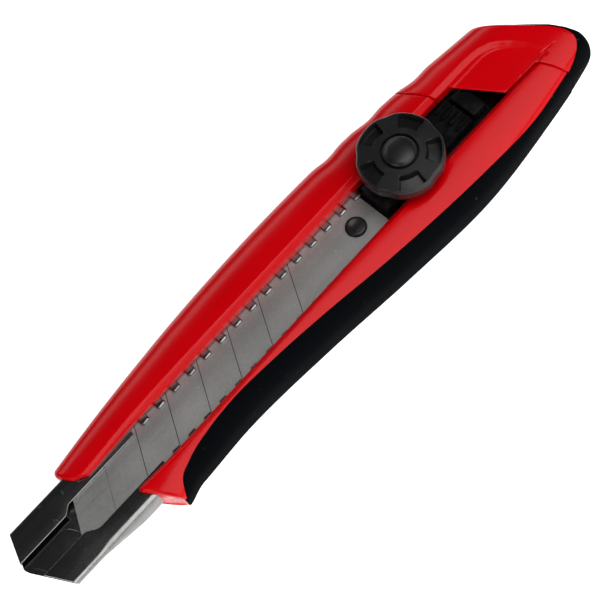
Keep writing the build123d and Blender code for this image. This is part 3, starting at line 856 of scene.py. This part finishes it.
def channel_section(x):
    """Closed section of the folded sheet."""
    low, half, top = floor_z(x), CHANNEL_HALF, LIP_TOP
    spine, belly = lip_edges(x)
    outer = soft_chain([(spine, top - 0.3), (spine, top), (half, top), (half, low), (0.0, low)],
                       (0.17, 0.45, 0.7), 6)
    spread = np.column_stack((np.linspace(half - 1.5, 0.6, 8), np.full(8, low)))
    outer = np.vstack((outer[:-1], spread))
    other = soft_chain([(-belly, top - 0.3), (-belly, top), (-half, top), (-half, low), (0.0, low)],
                       (0.12, 1.5, 0.7), 6)
    other = np.vstack((other[:-1], spread * (-1, 1)))[::-1]
    wall, ceiling, ground = half - SHEET, top - SHEET, low + SHEET
    inner, back = (soft_chain([(side * lip, top - 0.3), (side * lip, ceiling), (side * wall, ceiling),
                               (side * wall, ground), (0.0, ground)], (0.12, 0.4, 0.2), 4)[1:-1]
                   for side, lip in ((-1, belly), (1, spine)))
    inside_floor = np.column_stack((np.linspace(-half + 1.6, half - 1.6, 14), np.full(14, ground)))
    return np.vstack((outer, other, inner, inside_floor, back[::-1]))


NOSE_FRONT = [(-85.0, 9.7), (-87.6, 3.7), (-88.35, 1.9), (-88.4, 1.6), (-88.2, 0.9), (-82.3, -9.7)]
NOSE_PAD = [(-87.1, 1.5), (-86.6, 2.05), (-77.4, 2.05), (-76.2, 1.7), (-75.2, 0.6), (-74.2, -1.5),
            (-74.2, -8.7), (-82.0, -8.7)]


def build_channel():
    """The steel channel without its teeth, and the raised pad on its nose."""
    rows = np.concatenate((np.arange(-88.4, -82.0, 0.4), [-81.0, -79.0, -77.0, -75.4],
                           np.arange(-75.2, -73.4, 0.2), np.arange(-73.4, -70.4, 0.3),
                           np.arange(-70.0, -64.0, 1.0),
                           np.arange(-63.8, -62.0, 0.2), np.arange(-61.0, -51.0, 2.0),
                           [RACK_FRONT_X - 0.01, RACK_FRONT_X + 0.01], np.arange(-48.0, 56.0, 4.0),
                           [RACK_BACK_X - 0.01, RACK_BACK_X + 0.01, 60.0, CHANNEL_HIGH.x]))
    grid = []
    for x in rows:
        section = channel_section(x)
        along = np.maximum(x, plan_x(NOSE_FRONT, section[:, 0]))
        if x < -82:
            section = np.array([channel_section(place)[spot] for spot, place in enumerate(along)])
        grid.append(np.column_stack((along, section)))
    grid = np.array(grid)
    piece("channel_sheet", grid.reshape(-1, 3), filled(grid), "channel_steel", "handle",
          ("blade_channel",), 28)
    floor = CHANNEL_HIGH.z - 2.0 + SHEET
    levels = [(0.0, floor - 0.2), (0.0, floor + 0.04), (0.12, floor + 0.12), (0.35, floor + 0.16)]
    piece("nose_pad", *stacked(soft_loop(NOSE_PAD, 0.8), levels), "channel_steel", "handle")


def soft_loop(corners, radius, steps=4):
    """Closed outline with rounded corners."""
    first = (np.array(corners[0]) + np.array(corners[-1])) / 2
    return soft_chain([first, *corners, first], [radius] * len(corners), steps)[:-1]


def stacked(outline, levels):
    """Points and faces of a closed stack of an outline at levels of (inset, height)."""
    outline = np.array(outline)
    run = np.roll(outline, -1, axis=0) - np.roll(outline, 1, axis=0)
    normal = np.column_stack((-run[:, 1], run[:, 0])) / np.hypot(run[:, 0], run[:, 1])[:, None]
    area = np.sum(outline[:, 0] * np.roll(outline[:, 1], -1) - outline[:, 1] * np.roll(outline[:, 0], -1))
    normal *= 1 if area > 0 else -1
    grid = np.array([np.column_stack((outline + normal * inset, np.full(len(outline), z)))
                     for inset, z in levels])
    return grid.reshape(-1, 3), filled(grid, (0, 1))


def row_tree():
    """Node tree that repeats the incoming mesh along a straight row."""
    tree = bpy.data.node_groups.new("row_of_pieces", "GeometryNodeTree")
    for name, kind in (("Geometry", "Geometry"), ("Count", "Int"), ("Start", "Vector"), ("Step", "Vector"),
                       ("Finish", "Material")):
        tree.interface.new_socket(name, in_out="INPUT", socket_type="NodeSocket" + kind)
    tree.interface.new_socket("Geometry", in_out="OUTPUT", socket_type="NodeSocketGeometry")
    given = tree.nodes.new("NodeGroupInput")
    line = tree.nodes.new("GeometryNodeMeshLine")
    line.mode = "OFFSET"
    place = tree.nodes.new("GeometryNodeInstanceOnPoints")
    real = tree.nodes.new("GeometryNodeRealizeInstances")
    paint = tree.nodes.new("GeometryNodeSetMaterial")
    result = tree.nodes.new("NodeGroupOutput")
    for source, output, target, name in (
            (given, "Count", line, "Count"), (given, "Start", line, "Start Location"),
            (given, "Step", line, "Offset"), (line, "Mesh", place, "Points"),
            (given, "Geometry", place, "Instance"), (place, "Instances", real, "Geometry"),
            (real, "Geometry", paint, "Geometry"), (given, "Finish", paint, "Material"),
            (paint, "Geometry", result, "Geometry")):
        tree.links.new(source.outputs[output], target.inputs[name])
    return tree


def build_row(name, points, faces, count, start, step, finish, body):
    """Repeats a small mesh along a row with Geometry Nodes and keeps the plain result."""
    made = bpy.data.objects.new(name, mesh_of(name, points, faces))
    bpy.context.scene.collection.objects.link(made)
    row = made.modifiers.new("row", "NODES")
    row.node_group = row_tree()
    values = {"Count": count, "Finish": finish_named(finish),
              "Start": [value * MM for value in start], "Step": [value * MM for value in step]}
    for item in row.node_group.interface.items_tree:
        if item.in_out == "INPUT" and item.name in values:
            row[item.identifier] = values[item.name]
    made.data = applied(made)
    made.modifiers.clear()
    return dressed(name, made.data, finish, body)


def build_teeth(sizes):
    """The rack teeth on both lips."""
    half = sizes.tooth_width / MM / 2
    corner = sizes.tooth_round / MM
    root = 7.35
    low, high = LIP_TOP - SHEET, LIP_TOP
    levels = [(0.1, low), (0.0, low + 0.08), (0.0, high - 0.2), (0.06, high - 0.07), (0.18, high)]
    points, faces = [], []
    for side, tip in ((1, 4.25), (-1, 4.8)):
        outline = soft_chain([(-half, root), (-half, tip), (half, tip), (half, root)], (corner, corner), 6)
        more, more_faces = stacked(outline * (1, side), levels)
        faces += [tuple(index + len(points) for index in face) for face in more_faces]
        points += list(more)
    build_row("rack_teeth", points, faces, TOOTH_COUNT, (TOOTH_START_X, 0, 0), (TOOTH_PITCH, 0, 0),
              "channel_steel", "handle")


# Slider and knob ----------------------------------------------------------------------------------

def lathe(name, profile, centre_x, finish, body, nodes=(), steps=96):
    """A turned piece: profile points of (radius, height), closed on the axis or as a ring."""
    profile = np.array(profile, dtype=float)
    grid = []
    for step in range(steps):
        angle = 2 * pi * step / steps
        radius = profile[:, 0]
        ring = (centre_x + radius * cos(angle), radius * sin(angle), profile[:, 1])
        grid.append(np.column_stack(ring))
    faces = turned(steps, len(profile), profile[0, 0] > 0)
    return piece(name, np.array(grid).reshape(-1, 3), faces, finish, body, nodes)


def knob_height(radius, angle, rim):
    """Top of the knob: a faintly domed face with five scoops, which fall towards the rim."""
    face = KNOB_HIGH.z - 0.5 * np.clip((radius - 4.4) / 5.7, 0, 1) - round_off(rim - radius, 0.55)
    result = face
    for arm in range(KNOB_ARMS):
        centre = radians(-47.0 + 360.0 / KNOB_ARMS * arm)
        across = radius * np.sin(angle - centre)
        out = radius * np.cos(angle - centre)
        half = 2.1 + (out - 6.0) * 0.33
        side = np.clip((half - np.abs(across)) / 0.28 + 0.5, 0, 1)
        hub = np.clip((radius - 6.2) / 0.34 + 0.5, 0, 1) * np.clip((9.35 - radius) / 0.3 + 0.5, 0, 1)
        floor = 20.0 - (radius - 6.3) * 0.26
        mask = np.where(out > 0, side * hub, 0)
        mask = mask * mask * (3 - 2 * mask)
        result = result - mask * np.maximum(face - floor, 0)
    return result


def build_knob(sizes):
    """The five-armed knob with its scoops and waved rim."""
    around = 360
    angle = np.linspace(0, 2 * pi, around, endpoint=False)[:, None]
    wave = np.zeros_like(angle)
    for arm in range(KNOB_ARMS):
        off = (angle - radians(-11.0 + 360.0 / KNOB_ARMS * arm) + pi) % (2 * pi) - pi
        wave = np.maximum(wave, np.clip(1 - np.abs(off) / radians(15), 0, 1))
    rim = KNOB_R - sizes.rim_wave / MM * wave * wave * (3 - 2 * wave)
    share = np.linspace(0, 1, 50)[None, :]
    radius = rim + (4.45 - rim) * share**1.25
    top = np.maximum(knob_height(radius, angle, rim), 18.3)
    low, hub = 17.4, 5.3
    ones = np.ones_like(angle)
    under = [(2.3 * ones, KNOB_LOW.z * ones), (hub * ones - 0.2, KNOB_LOW.z * ones),
             (hub * ones, KNOB_LOW.z * ones + 0.2), (hub * ones, low * ones - 0.3),
             (hub * ones + 0.3, low * ones),
             (rim - 0.75, low * ones), (rim - 0.25, low * ones + 0.25), (rim, low * ones + 0.75)]
    bore = [(4.4 * ones, 20.4 * ones), (3.5 * ones, 20.38 * ones), (3.5 * ones, 17.9 * ones),
            (2.3 * ones, 17.9 * ones)]
    radii = np.hstack([pair[0] for pair in under] + [radius] + [pair[0] for pair in bore])
    height = np.hstack([pair[1] for pair in under] + [top] + [pair[1] for pair in bore])
    grid = np.stack((KNOB_X + radii * np.cos(angle), radii * np.sin(angle), height), axis=2)
    faces = turned(around, grid.shape[1])
    piece("knob_body", grid.reshape(-1, 3), faces, "black_plastic", "knob", ("knob",), 42)
    radius = CAP_DISC_HIGH.y
    top = CAP_DISC_HIGH.z
    button = [(0, CAP_DISC_LOW.z), (radius - 0.35, CAP_DISC_LOW.z), (radius - 0.35, 21.5),
              (radius - 0.2, 22.0), (radius - 0.45, 22.35), (radius - 0.95, top - 0.42),
              (radius - 1.6, top - 0.22),
              (radius - 2.4, top - 0.09), (radius - 3.2, top - 0.02), (0, top)]
    lathe("knob_button", button, KNOB_X, "black_plastic", "knob", ("knob_cap",))


def build_peg():
    """The blade's peg, with a dished head."""
    centre = (PEG_LOW.x + PEG_HIGH.x) / 2
    radius, top = PEG_HIGH.y, PEG_HIGH.z
    head = [(0, PEG_LOW.z), (1.5, PEG_LOW.z), (1.5, 9.2), (radius - 0.05, 9.2), (radius, 9.3),
            (radius, top - 0.42), (radius - 0.12, top - 0.2), (radius - 0.4, top - 0.05),
            (radius - 0.65, top), (radius - 0.85, top - 0.05), (1.2, top - 0.3), (0.6, top - 0.36),
            (0, top - 0.38)]
    lathe("peg_head", head, centre, "black_plastic", "slider", ("blade_peg",), 64)


def softened(node, name, width, body, finish):
    """A copy of a CAD node with its hard edges rounded off."""
    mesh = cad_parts[node].data.copy()
    work = bmesh.new()
    work.from_mesh(mesh)
    bmesh.ops.remove_doubles(work, verts=work.verts, dist=WELD)
    bmesh.ops.dissolve_limit(work, angle_limit=radians(1.0), verts=work.verts, edges=work.edges)
    work.to_mesh(mesh)
    work.free()
    made = bpy.data.objects.new(name, mesh)
    bpy.context.scene.collection.objects.link(made)
    bevel = made.modifiers.new("soft", "BEVEL")
    bevel.width = width * MM
    bevel.segments = 2
    bevel.limit_method = "ANGLE"
    bevel.angle_limit = radians(50.0)
    made.data = applied(made)
    made.modifiers.clear()
    return dressed(name, made.data, finish, body, (node,))


def build_slider():
    """The slider's plastic parts with rounded edges."""
    # The slider's parts take the black plastic painted darker for the shade in the track.
    softened("carriage", "slider_carriage", 0.12, "slider", "track_plastic")
    softened("tail_guide", "slider_guide", 0.22, "slider", "track_plastic")
    build_peg()


# Stage --------------------------------------------------------------------------------------------

def softbox(name, place, size, power):
    """A rectangular lamp that looks at the knife."""
    light = bpy.data.lights.new(name, "AREA")
    light.shape = "RECTANGLE"
    light.size, light.size_y = size
    light.energy = power
    lamp = bpy.data.objects.new(name, light)
    lamp.location = place
    lamp.rotation_euler = (-Vector(place)).to_track_quat("-Z", "Y").to_euler()
    bpy.context.scene.collection.objects.link(lamp)


def build_stage(settings):
    """Pale floor, soft boxes and the camera."""
    floor_mesh = bpy.data.meshes.new("floor")
    corners = [(x * FLOOR_REACH, y * FLOOR_REACH, 0) for x, y in ((-1, -1), (1, -1), (1, 1), (-1, 1))]
    floor_mesh.from_pydata(corners, [], [(0, 1, 2, 3)])
    floor = bpy.data.objects.new("floor", floor_mesh)
    floor.location.z = CAD_BOX[0][2] - 0.1 * MM
    bpy.context.scene.collection.objects.link(floor)
    paper = Finish("floor_paper", (0.8, 0.8, 0.8), 0.9)
    mottle = paper.noise(30, 2)
    paper.feed("Base Color", paper.blend(mottle, (0.80, 0.80, 0.80), (0.83, 0.83, 0.83)))
    paper.feed("Emission Color", (1.0, 1.0, 1.0, 1.0))
    paper.feed("Emission Strength", settings.floor_glow)
    floor_mesh.materials.append(paper.material)

    world = bpy.data.worlds.new("studio")
    world.use_nodes = True
    world.node_tree.nodes["Background"].inputs[0].default_value = (1.0, 1.0, 1.0, 1.0)
    world.node_tree.nodes["Background"].inputs[1].default_value = settings.room_light
    bpy.context.scene.world = world
    for name, (place, size, power) in SOFT_BOXES.items():
        softbox(name, place, size, getattr(settings, power))
    bpy.context.scene.view_settings.view_transform = "Standard"
    bpy.context.scene.view_settings.look = "None"

    lens = bpy.data.cameras.new("camera")
    lens.lens = LENS_LENGTH
    lens.sensor_width = 36.0
    camera = bpy.data.objects.new("camera", lens)
    camera.location = CAMERA_PLACE
    camera.rotation_euler = Euler([radians(angle) for angle in CAMERA_TURN], "XYZ")
    bpy.context.scene.collection.objects.link(camera)
    bpy.context.scene.camera = camera


def dress_kept_nodes():
    """Finishes for the CAD nodes that stay."""
    kept = {"back_cover": "red_plastic", "blade": "blade_steel", "knob_nut": "brass"}
    kept |= dict.fromkeys(("casing_screws", "channel_rivets", "knob_washer", "lock_plate", "clamp_stud",
                           "stud_clip", "release_spring"), "zinc_steel")
    for node, finish in kept.items():
        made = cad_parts[node]
        if not made.material_slots:
            made.data.materials.append(finish_named(finish))
        for spot in made.material_slots:
            spot.material = finish_named(finish)


# Add-on -------------------------------------------------------------------------------------------

def colour_property(name, description, default):
    """A colour that a user may change."""
    return bpy.props.FloatVectorProperty(name=name, description=description, default=default, size=3,
                                         min=0.0, max=1.0, subtype="COLOR")


def length_property(name, description, default, low=0.0):
    """A length that a user may change."""
    return bpy.props.FloatProperty(name=name, description=description, default=default, min=low,
                                   subtype="DISTANCE", unit="LENGTH")


def light_property(name, description, default, unit="POWER"):
    """An amount of light that a user may change."""
    return bpy.props.FloatProperty(name=name, description=description, default=default, min=0.0, unit=unit)


class KnifeSizes(bpy.types.PropertyGroup):
    """Sizes of the finished pieces."""
    nose_round: length_property("Nose rounding", "Radius of the casing's front edge", 0.0011)
    grip_proud: length_property("Grip height", "How far the rubber stands out of the casing", 0.00028)
    tooth_width: length_property("Tooth width", "Width of a rack tooth", 0.0023, 0.0005)
    tooth_round: length_property("Tooth corner", "Radius of a rack tooth's corners", 0.0006)
    rim_wave: length_property("Knob wave", "Depth of the waves in the knob's rim", 0.00035)


class KnifeColours(bpy.types.PropertyGroup):
    """Base colours of the knife's finishes."""
    casing: colour_property("Casing", "Red of the casing, the cover and the end cap", (0.60, 0.0, 0.003))
    rubber: colour_property("Rubber", "Black of the grip and the tail rim", (0.0022, 0.0028, 0.0036))
    plastic: colour_property("Plastic", "Black of the knob and the slider", (0.012, 0.012, 0.0125))
    sheet: colour_property("Channel", "Grey of the steel channel", (0.25, 0.25, 0.245))
    blade: colour_property("Blade", "Grey of the blade", (0.42, 0.42, 0.412))
    zinc: colour_property("Zinc", "Grey of the plated parts", (0.55, 0.56, 0.58))
    brass: colour_property("Brass", "Yellow of the turned parts", (0.62, 0.42, 0.16))


class KnifeStage(bpy.types.PropertyGroup):
    """Light of the stage."""
    floor_glow: light_property("Floor glow", "Light that the floor itself gives", 0.93, "NONE")
    room_light: light_property("Room light", "Even light from all round", 0.03, "NONE")
    top_power: light_property("Top box", "Power of the overhead soft box", 8.4)
    spine_power: light_property("Spine box", "Power of the long soft box beside the spine", 2.2)
    belly_power: light_property("Belly box", "Power of the low soft box beside the belly", 2.2)
    nose_power: light_property("Nose box", "Power of the soft box in front of the nose", 1.0)


class KNIFE_OT_stage(bpy.types.Operator):
    """Make the floor, the lights and the camera"""
    bl_idname = "knife.stage"
    bl_label = "Stage"

    def execute(self, context):
        build_stage(context.scene.knife_stage)
        return {"FINISHED"}


class KNIFE_OT_casing(bpy.types.Operator):
    """Make the red casing"""
    bl_idname = "knife.casing"
    bl_label = "Casing"

    def execute(self, context):
        build_casing(context.scene.knife_sizes)
        return {"FINISHED"}


class KNIFE_OT_grip(bpy.types.Operator):
    """Make the rubber grip on the belly"""
    bl_idname = "knife.grip"
    bl_label = "Grip"

    def execute(self, context):
        build_grip(context.scene.knife_sizes)
        return {"FINISHED"}


class KNIFE_OT_cap(bpy.types.Operator):
    """Make the end cap and its black rim"""
    bl_idname = "knife.cap"
    bl_label = "End cap"

    def execute(self, context):
        build_cap()
        build_rim()
        return {"FINISHED"}


class KNIFE_OT_channel(bpy.types.Operator):
    """Make the steel channel and its teeth"""
    bl_idname = "knife.channel"
    bl_label = "Channel"

    def execute(self, context):
        build_channel()
        build_teeth(context.scene.knife_sizes)
        return {"FINISHED"}


class KNIFE_OT_slider(bpy.types.Operator):
    """Make the slider's parts"""
    bl_idname = "knife.slider"
    bl_label = "Slider"

    def execute(self, context):
        build_slider()
        return {"FINISHED"}


class KNIFE_OT_knob(bpy.types.Operator):
    """Make the knob and its button"""
    bl_idname = "knife.knob"
    bl_label = "Knob"

    def execute(self, context):
        build_knob(context.scene.knife_sizes)
        return {"FINISHED"}


class KNIFE_OT_finishes(bpy.types.Operator):
    """Give the kept nodes their finishes"""
    bl_idname = "knife.finishes"
    bl_label = "Finishes"

    def execute(self, context):
        dress_kept_nodes()
        return {"FINISHED"}


OPERATORS = (KNIFE_OT_stage, KNIFE_OT_casing, KNIFE_OT_grip, KNIFE_OT_cap, KNIFE_OT_channel, KNIFE_OT_slider,
             KNIFE_OT_knob, KNIFE_OT_finishes)


class KNIFE_PT_pieces(bpy.types.Panel):
    """Lists the operators and their sizes"""
    bl_label = "Snap-off Knife"
    bl_idname = "KNIFE_PT_pieces"
    bl_space_type = "VIEW_3D"
    bl_region_type = "UI"
    bl_category = "Knife"

    def draw(self, context):
        for operator in OPERATORS:
            self.layout.operator(operator.bl_idname)
        for group in (context.scene.knife_sizes, context.scene.knife_colours, context.scene.knife_stage):
            for name in group.__annotations__:
                self.layout.prop(group, name)


CLASSES = (KnifeSizes, KnifeColours, KnifeStage, *OPERATORS, KNIFE_PT_pieces)


def register():
    for kind in CLASSES:
        bpy.utils.register_class(kind)
    bpy.types.Scene.knife_sizes = bpy.props.PointerProperty(type=KnifeSizes)
    bpy.types.Scene.knife_colours = bpy.props.PointerProperty(type=KnifeColours)
    bpy.types.Scene.knife_stage = bpy.props.PointerProperty(type=KnifeStage)


def unregister():
    del bpy.types.Scene.knife_stage
    del bpy.types.Scene.knife_colours
    del bpy.types.Scene.knife_sizes
    for kind in reversed(CLASSES):
        bpy.utils.unregister_class(kind)


def main():
    """Registers the add-on and makes every piece."""
    register()
    for operator in OPERATORS:
        group, action = operator.bl_idname.split(".")
        getattr(getattr(bpy.ops, group), action)()


if __name__ == "__main__":
    main()
